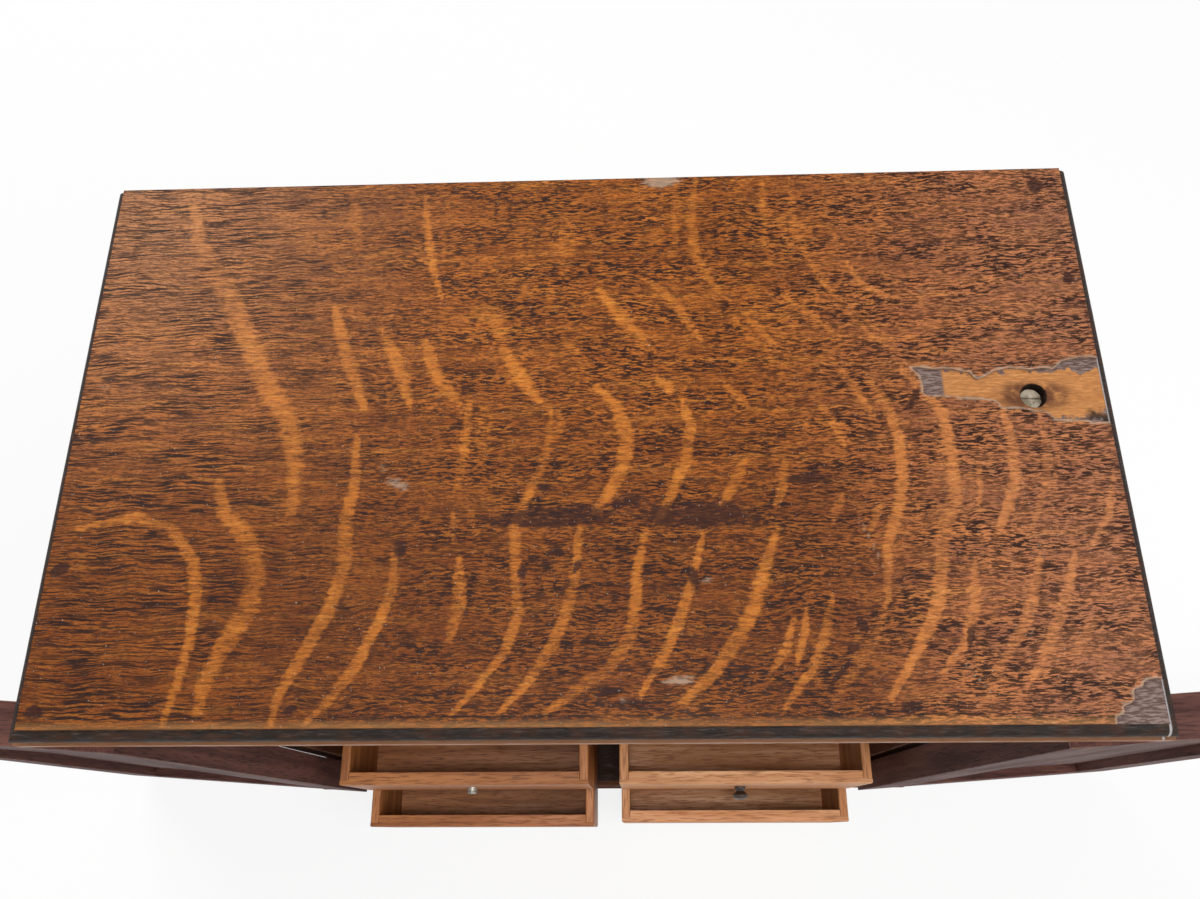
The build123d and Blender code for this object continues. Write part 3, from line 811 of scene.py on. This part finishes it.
    @staticmethod
    def spot_field(points: np.ndarray, spots: tuple[Spot, ...]) -> np.ndarray:
        """Work out how strongly a spot shows: full inside its ellipse and fading outside it.

        Args:
            points: Points on the top in millimetres.
            spots: The ellipses.

        Returns:
            A strength from 0 to 1 for each point.
        """
        field = np.zeros(len(points))
        for spot in spots:
            turn = math.radians(spot.turn)
            offset = points - np.array(spot.centre)
            u = offset @ np.array((math.cos(turn), math.sin(turn))) / spot.half[0]
            v = offset @ np.array((-math.sin(turn), math.cos(turn))) / spot.half[1]
            field = np.maximum(field, spot.strength * np.clip(1 + SPOT_FADE - np.hypot(u, v), 0, 1))
        return field

    def build(self) -> None:
        """Make the sheet's mesh: top and bottom grids joined by walls along every open edge."""
        low, high = (np.array(corner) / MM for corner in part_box("top_veneer"))
        nx, ny = (int(round((high[i] - low[i]) / self.cell)) for i in (0, 1))
        xs, ys = np.linspace(low[0], high[0], nx + 1), np.linspace(low[1], high[1], ny + 1)
        grid = np.stack(np.meshgrid(xs, ys), -1).reshape(-1, 2)
        column, row = np.meshgrid(np.arange(nx), np.arange(ny))
        first = (row * (nx + 1) + column).ravel()
        quads = np.stack([first, first + 1, first + nx + 2, first + nx + 1], 1)
        centres = grid[quads].mean(1)
        dropped = np.zeros(len(quads), bool)
        losses = enumerate((self.loss, self.corner_loss), self.first_seed)
        outlines = [self.ragged(loss, self.step, self.jag, seed) for seed, loss in losses]
        for outline in outlines:
            dropped |= self.inside(centres, outline)
        kept = quads[~dropped]
        rim = np.intersect1d(kept.ravel(), quads[dropped].ravel())
        for outline in outlines:
            foot, distance = self.nearest(grid[rim], outline)
            close = distance < self.cell
            grid[rim[close]] = np.clip(foot[close], low[:2], high[:2])
        used, compact = np.unique(kept, return_inverse=True)
        flat, kept = grid[used], compact.reshape(-1, 4)
        count = len(flat)
        edges = np.concatenate([kept[:, [i, (i + 1) % 4]] for i in range(4)])
        _, where, times = np.unique(np.sort(edges, 1), axis=0, return_index=True, return_counts=True)
        start, end = edges[where[times == 1]].T
        walls = np.stack([end, start, start + count, end + count], 1)
        faces = np.concatenate([kept, kept[:, ::-1] + count, walls])
        points = np.concatenate([np.c_[flat, np.full(count, level)] for level in (high[2], low[2])]) * MM
        mesh = bpy.data.meshes.new("oak_top_sheet")
        mesh.from_pydata(points.tolist(), [], faces.tolist())
        fields = {
            "ray": self.ray_field(flat),
            "dark": self.spot_field(flat, DARK_SPOTS),
            "pale": self.spot_field(flat, PALE_SPOTS),
        }
        for outline in outlines:
            gap = self.nearest(flat, outline)[1]
            rim = self.rim_strength * np.clip((self.rim_end - gap) / self.rim_fade, 0, 1)
            fields["pale"] = np.maximum(fields["pale"], rim)
        for name, values in fields.items():
            attribute = mesh.attributes.new(name, "FLOAT", "POINT")
            attribute.data.foreach_set("value", np.tile(values, 2).astype(np.float32))
        sheet = bpy.data.objects.new("oak_top_sheet", mesh)
        bpy.context.scene.collection.objects.link(sheet)
        sheet.data.materials.append(self.finish())
        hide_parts("top_veneer")
        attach(sheet, "case")
        LOG.info("top sheet: %d faces", len(faces))

    def finish(self) -> bpy.types.Material:
        """Build the polished quarter-sawn oak: dark pores along X and pale rays across them.

        The pores are long on the left and short towards the right. Towards the back left a milky pale
        coat is painted sheen, partly pale wear of the old polish, and towards the right a milky coat is
        painted sheen. The front, except on the right, is darkened as painted shade. The front edge is
        rubbed pale, with a thin dark line behind it.

        Returns:
            The finished material.
        """
        material, tree, shader = start_material("polished_quarter_sawn_oak")
        place = put(tree, "TexCoord").outputs["Object"]
        axes = put(tree, "SeparateXYZ", links={0: place}).outputs
        x, y = axes["X"], axes["Y"]
        texture = {"Scale": self.ripple_scale, "Detail": 3.0}
        ripple = put(tree, "TexNoise", texture, {"Vector": place}).outputs["Color"]
        along_y = {1: (0.0, self.ripple_sway, 0.0)}
        sway = put(tree, "VectorMath", along_y, {0: ripple}, operation="MULTIPLY").outputs[0]
        bent = put(tree, "VectorMath", links={0: place, 1: sway}, operation="ADD").outputs[0]
        long_pores = Marks(11.0, 0.65, 0.46, 0.54, 3.0).mask(tree, bent)
        short_pores = Marks(3.6, 0.6, 0.46, 0.54, 3.0, 5.0).mask(tree, bent)
        crowded = Marks(30.0, 9.0, 0.32, 0.6, 4.0, 41.0).mask(tree, bent)
        strength = spread(tree, crowded, 0.5, 1.0)
        kinds = {0: ramp(tree, x, *self.short_pores), MIX_PLAIN_A: long_pores, MIX_PLAIN_B: short_pores}
        pores = product(tree, put(tree, "Mix", links=kinds, data_type="FLOAT").outputs[0], strength)
        fine = Marks(2.4, 0.4, 0.48, 0.6, 2.0, 11.0).mask(tree, bent)
        figure = Marks(34.0, 16.0, 0.34, 0.7, 5.0, 2.0).mask(tree, bent)
        bands = Marks(60.0, 3.2, 0.38, 0.66, 4.0, 8.0).mask(tree, bent)
        pale_bands = Marks(48.0, 2.0, 0.46, 0.7, 4.0, 14.0).mask(tree, bent)
        curl = Marks(5.0, 22.0, 0.46, 0.68, 3.0, 17.0).mask(tree, place)
        torn = Marks(3.0, 1.1, 0.25, 0.75, 3.0, 21.0).mask(tree, place)
        masks = {}
        for name, tear, low, full in FIELD_MASKS:
            field = put(tree, "Attribute", attribute_name=name).outputs["Fac"]
            links = {0: field, 1: product(tree, torn, tear)}
            shifted = put(tree, "Math", links=links, operation="ADD").outputs[0]
            masks[name] = product(tree, ramp(tree, shifted, low, full), ramp(tree, field, *FIELD_PRESENT))
        dust = Marks(0.9, 0.9, 0.68, 0.74, 2.0, 51.0).mask(tree, place)
        fading = Marks(26.0, 26.0, 0.3, 0.62, 3.0, 31.0).mask(tree, place)
        ray = product(tree, masks["ray"], spread(tree, fading, 0.5, 1.0))
        plain = spread(tree, ray, 1.0, 0.35)
        front_wear = product(tree, ramp(tree, y, *self.worn_front), strength)
        front_line = product(tree, ramp(tree, y, *self.line_back), ramp(tree, y, *self.line_front))
        # Painted sheen towards the back left, partly pale wear of old polish, and painted sheen towards the
        # right
        left_sheen_and_wear = ramp(tree, x, *self.sheen_and_wear_left)
        right_sheen = ramp(tree, x, *self.sheen_right)
        back_sheen_and_wear = ramp(tree, y, *self.sheen_and_wear_back)
        # Painted shade: the front is darkened, except on the right
        front_shade = ramp(tree, y, *self.shade_front)
        not_right = ramp(tree, x, *self.shade_left)
        colour = coat(
            tree,
            "A85E22",
            [
                (product(tree, figure, 0.6), "6C3410"),
                (product(tree, bands, 0.5), "5A2A0C"),
                (product(tree, pale_bands, plain, 0.5), "C47C30"),
                (product(tree, curl, 0.3), "B66C28"),
                (product(tree, ray, 0.82), "BE7028"),
                (product(tree, ray, pale_bands, 0.5), "CE883A"),
                # Painted sheen, partly pale wear, towards the back left; painted sheen towards the right
                (product(tree, left_sheen_and_wear, back_sheen_and_wear, 0.42), "B88A68"),
                (product(tree, right_sheen, 0.30), "AE8270"),
                # Painted shade on the front
                (product(tree, front_shade, not_right, plain, 0.5), "4C2006"),
                (product(tree, pores, plain, 0.97), "1E0D08"),
                (product(tree, fine, plain, 0.6), "220E08"),
                (product(tree, front_wear, 0.35), "B07E4C"),
                (product(tree, front_line, long_pores), "24130C"),
                (product(tree, masks["dark"], 0.85), "27110D"),
                (product(tree, masks["pale"], 0.6), "A8917C"),
                (product(tree, dust, 0.4), "C9B8A4"),
            ],
        )
        links = {0: product(tree, pores, 0.6), 1: masks["dark"]}
        sunken = put(tree, "Math", links=links, operation="ADD").outputs[0]
        soft = worn_edge(tree, self.edge_radius)[1]
        shader.inputs["Specular IOR Level"].default_value = self.gleam
        roughness = (torn, self.smooth, self.rough)
        finish_shader(tree, shader, colour, sunken, self.pore_depth, roughness, soft)
        return material


def dress(node: str, material: bpy.types.Material) -> None:
    """Give a CAD node a single material.

    Args:
        node: Name of the node.
        material: Its finish.
    """
    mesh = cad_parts[node].data
    mesh.materials.clear()
    mesh.materials.append(material)
    LOG.info("dressed %s in %s", node, material.name)


CASE_OAK = {"light": "7E4E2E", "mid": "5C3420", "dark": "2E1810", "worn": "9A6B46"}
DOOR_OAK = {"light": "6A4238", "mid": "4C2C26", "dark": "241213", "worn": "A67C6C"}
INNER_OAK = {"light": "5E3822", "mid": "472818", "dark": "26140C", "worn": "7E5436"}
BACK_OAK = {"light": "8A5C3A", "mid": "6E4629", "dark": "3C2314", "worn": "946A48"}
RIGHT_DRAWER_OAK = {"light": "D9A070", "mid": "BE7C44", "dark": "854B22", "worn": "E6BE98"}
LEFT_DRAWER_OAK = {"light": "BC783F", "mid": "9A5A2A", "dark": "5E3216", "worn": "C98C58"}
KNOB_WOOD = {"light": "3A2A22", "mid": "2A1D18", "dark": "140E0C", "worn": "C8B8A0"}
BASE_EDGE = {"bead": "4E2C18", "bead_streak": "6A3E22", "fillet": "6B3E22"}
# The base's field is coloured dark as painted shade for the recess between the drawers
SHADED_BASE_FIELD = {"field": "2E1A10", "field_streak": "3E2416", "field_fibre": "1A0F0A"}

# Where the noise of the first drawer's oak starts, and how far apart the drawers' are
DRAWER_SHIFT = 2.3
DRAWER_SHIFT_STEP = 0.37


@dataclass
class Case:
    """The fixed case: moulded boards, sides, back, shelf, dividers, guides, rack and hinge leaves.

    The levels are the top of the fillet and of the field of a moulded board, in metres.
    """

    top_levels: tuple[float, float] = (0.3604, 0.3671)
    base_levels: tuple[float, float] = (0.0054, 0.0121)

    def dress(self) -> None:
        """Give every fixed node its finish."""
        dress("top_board", MouldedBoard("ebonised_oak_top_edge", *self.top_levels, bared=True).material())
        # The base's field colours are painted shade
        base = MouldedBoard("ebonised_oak_base_edge", *self.base_levels, **BASE_EDGE, **SHADED_BASE_FIELD)
        dress("base_board", base.material())
        side = Oak("stained_oak_side", **CASE_OAK, grain=Grain.Z, shift=0.31).material()
        for node in ("left_side", "right_side"):
            dress(node, side)
        dress("back_panel", Oak("plain_oak_back", **BACK_OAK, shift=0.83, smooth=0.62).material())
        inner = Oak("stained_oak_inside", **INNER_OAK, shift=0.47, smooth=0.55).material()
        for node in ("shelf", "dust_board", "rack_rail", "rack_ledge", "door_stop"):
            dress(node, inner)
        upright = Oak("stained_oak_divider", **INNER_OAK, grain=Grain.Z, shift=0.59, smooth=0.55).material()
        for tier in ("lower", "upper"):
            dress(f"{tier}_divider", upright)
            for side_name in ("left", "right"):
                dress(f"{tier}_{side_name}_guide", upright)
        dress("top_plugs", Oak("oak_plug", **BACK_OAK, grain=Grain.Z, shift=0.2).material())
        steel = Metal("dull_steel_screw", "A89C88", "7C705E", smooth=0.55, metallic=0.25).material()
        brass = Metal("tarnished_brass", "8A6A38", "3C2A1A", smooth=0.38).material()
        knob = Metal("rubbed_brass_knob", "B08A48", "6A4C26", smooth=0.3, mottle=5.0).material()
        dress("case_screws", steel)
        dress("case_leaf_screws", brass)
        dress("hinge_pins", brass)
        for side_name in ("left", "right"):
            dress(f"{side_name}_case_leaves", brass)
            dress(f"{side_name}_door_leaves", brass)
            dress(f"{side_name}_door_leaf_screws", brass)
        dress("right_door_knob", knob)


@dataclass
class Door:
    """One framed door: upright stiles, level rails and an upright fielded panel."""

    side: str
    shift: float

    def dress(self) -> None:
        """Give the door's wood its finish, with the grain along each piece."""
        dull = {**DOOR_OAK, "smooth": 0.58, "gleam": 0.2, "edge_wear": 0.8}
        upright = Oak(f"{self.side}_door_stile_oak", **dull, grain=Grain.Z, shift=self.shift)
        level = Oak(f"{self.side}_door_rail_oak", **dull, grain=Grain.X, shift=self.shift + 0.2)
        panel = Oak(f"{self.side}_door_panel_oak", **dull, grain=Grain.Z, shift=self.shift + 0.4)
        for names, oak in (
            (("hinge_stile", "meeting_stile"), upright),
            (("top_rail", "bottom_rail"), level),
            (("panel",), panel),
        ):
            material = oak.material()
            for name in names:
                dress(f"{self.side}_door_{name}", material)


@dataclass
class Drawer:
    """One small drawer: front and bottom with the grain across, sides with the grain front to back."""

    place: str
    shift: float

    def dress(self) -> None:
        """Give the drawer's pieces their finish."""
        colours = LEFT_DRAWER_OAK if self.place.endswith("left") else RIGHT_DRAWER_OAK
        worn = {**colours, "edge_wear": 0.8}
        across = Oak(f"{self.place}_drawer_front_oak", **worn, shift=self.shift).material()
        along = Oak(f"{self.place}_drawer_side_oak", **worn, grain=Grain.Y, shift=self.shift + 0.1)
        for name in ("front", "back", "bottom"):
            dress(f"{self.place}_drawer_{name}", across)
        dress(f"{self.place}_drawer_sides", along.material())


@dataclass
class Studio:
    """Camera at the photograph's viewing angle, a pale floor, and soft light from three lamps.

    The camera's place is in millimetres and its tilt in radians. The floor's half size is in metres.
    """

    image_width: float = 1200.0
    focal_pixels: float = 992.4
    camera_place: Place = (17.95, -136.79, 701.5)
    tilt: Place = (-0.369, -0.033, 0.015)
    sensor: float = 36.0
    nearest_seen: float = 0.01
    world_level: float = 0.42
    floor_half: float = 4.0
    floor_grey: float = 0.86
    floor_glow: float = 0.8

    @staticmethod
    def seen_directly(tree: Tree) -> Socket:
        """Tell camera, glossy and transmission rays from the rays that carry light.

        Args:
            tree: Node tree of the floor or the world.

        Returns:
            1 for a ray that shows the background and 0 for one that lights the object.
        """
        path = put(tree, "LightPath").outputs
        seen = path["Is Camera Ray"]
        for kind in ("Is Glossy Ray", "Is Transmission Ray"):
            seen = put(tree, "Math", links={0: seen, 1: path[kind]}, operation="MAXIMUM").outputs[0]
        return seen

    def camera(self) -> None:
        """Place the camera.

        The tilt about X, then Y, then Z turns the world's axes into the camera's, so the camera itself
        is turned the other way.
        """
        data = bpy.data.cameras.new("camera")
        data.sensor_width = self.sensor
        data.lens = self.focal_pixels / self.image_width * self.sensor
        data.clip_start = self.nearest_seen
        camera = bpy.data.objects.new("camera", data)
        bpy.context.scene.collection.objects.link(camera)
        turn = Matrix.Rotation(self.tilt[2], 3, "Z") @ Matrix.Rotation(self.tilt[1], 3, "Y")
        turn = turn @ Matrix.Rotation(self.tilt[0], 3, "X")
        camera.matrix_world = Matrix.Translation(Vector(self.camera_place) * MM) @ turn.transposed().to_4x4()
        bpy.context.scene.camera = camera

    def floor(self) -> None:
        """Lay a pale floor that renders near white and still takes a soft shadow."""
        half = self.floor_half
        corners = [(-half, -half, 0), (half, -half, 0), (half, half, 0), (-half, half, 0)]
        mesh = bpy.data.meshes.new("floor")
        mesh.from_pydata(corners, [], [(0, 1, 2, 3)])
        floor = bpy.data.objects.new("floor", mesh)
        bpy.context.scene.collection.objects.link(floor)
        material = bpy.data.materials.new("pale_floor")
        material.use_nodes = True
        tree = material.node_tree
        tree.nodes.clear()
        matt = put(tree, "BsdfDiffuse", {"Color": (*(self.floor_grey,) * 3, 1.0)})
        glow = put(tree, "Emission", {"Color": WHITE, "Strength": 1.0})
        seen = product(tree, self.seen_directly(tree), self.floor_glow)
        mixed = put(tree, "MixShader", links={0: seen, 1: matt.outputs[0], 2: glow.outputs[0]})
        put(tree, "OutputMaterial", links={"Surface": mixed.outputs[0]})
        mesh.materials.append(material)

    def lamp(self, name: str, place: Place, size: float, power: float, aim: Place) -> None:
        """Hang a square soft lamp.

        Args:
            name: Name of the lamp.
            place: Its place in metres.
            size: Side of the square in metres.
            power: Power in watts.
            aim: Point that it faces.
        """
        data = bpy.data.lights.new(name, "AREA")
        data.size = size
        data.energy = power
        lamp = bpy.data.objects.new(name, data)
        lamp.location = place
        lamp.rotation_euler = (Vector(aim) - Vector(place)).to_track_quat("-Z", "Y").to_euler()
        bpy.context.scene.collection.objects.link(lamp)

    def light(self) -> None:
        """Set the world's soft light and the lamps."""
        world = bpy.data.worlds.new("studio")
        bpy.context.scene.world = world
        world.use_nodes = True
        tree = world.node_tree
        tree.nodes.clear()
        strength = spread(tree, self.seen_directly(tree), self.world_level, 1.0)
        sky = put(tree, "Background", {"Color": WHITE}, {"Strength": strength})
        put(tree, "OutputWorld", links={"Surface": sky.outputs[0]})
        self.lamp("window_right", (1.1, -0.6, 1.5), 1.2, 15.0, (0.0, 0.0, 0.2))
        self.lamp("window_behind", (-0.9, 1.1, 1.5), 1.2, 17.0, (0.0, 0.0, 0.3))
        self.lamp("overhead", (0.02, -0.21, 1.35), 0.16, 5.0, (0.0, -0.11, 0.2))
        bpy.context.scene.view_settings.view_transform = "Standard"

    def build(self) -> None:
        """Make the camera, floor and lights."""
        self.camera()
        self.floor()
        self.light()
        LOG.info("studio ready")


def main() -> None:
    """Build the pieces and dress every node of the frame, in order."""
    logging.basicConfig(level=logging.INFO, format="%(name)s: %(message)s")
    Studio().build()
    TopSheet().build()
    Case().dress()
    for side, shift in (("left", 1.1), ("right", 1.7)):
        Door(side, shift).dress()
    for index, place in enumerate(("upper_left", "upper_right", "lower_left", "lower_right")):
        Drawer(place, DRAWER_SHIFT + DRAWER_SHIFT_STEP * index).dress()
    knob = Oak("ebonised_knob", **KNOB_WOOD, smooth=0.3, edge_wear=0.2)
    dress("upper_right_drawer_knob", knob.material())
    post = Metal("dull_iron_post", "A8A49A", "5E5850", smooth=0.4, metallic=0.8)
    dress("upper_left_drawer_post", post.material())


if __name__ == "__main__":
    main()
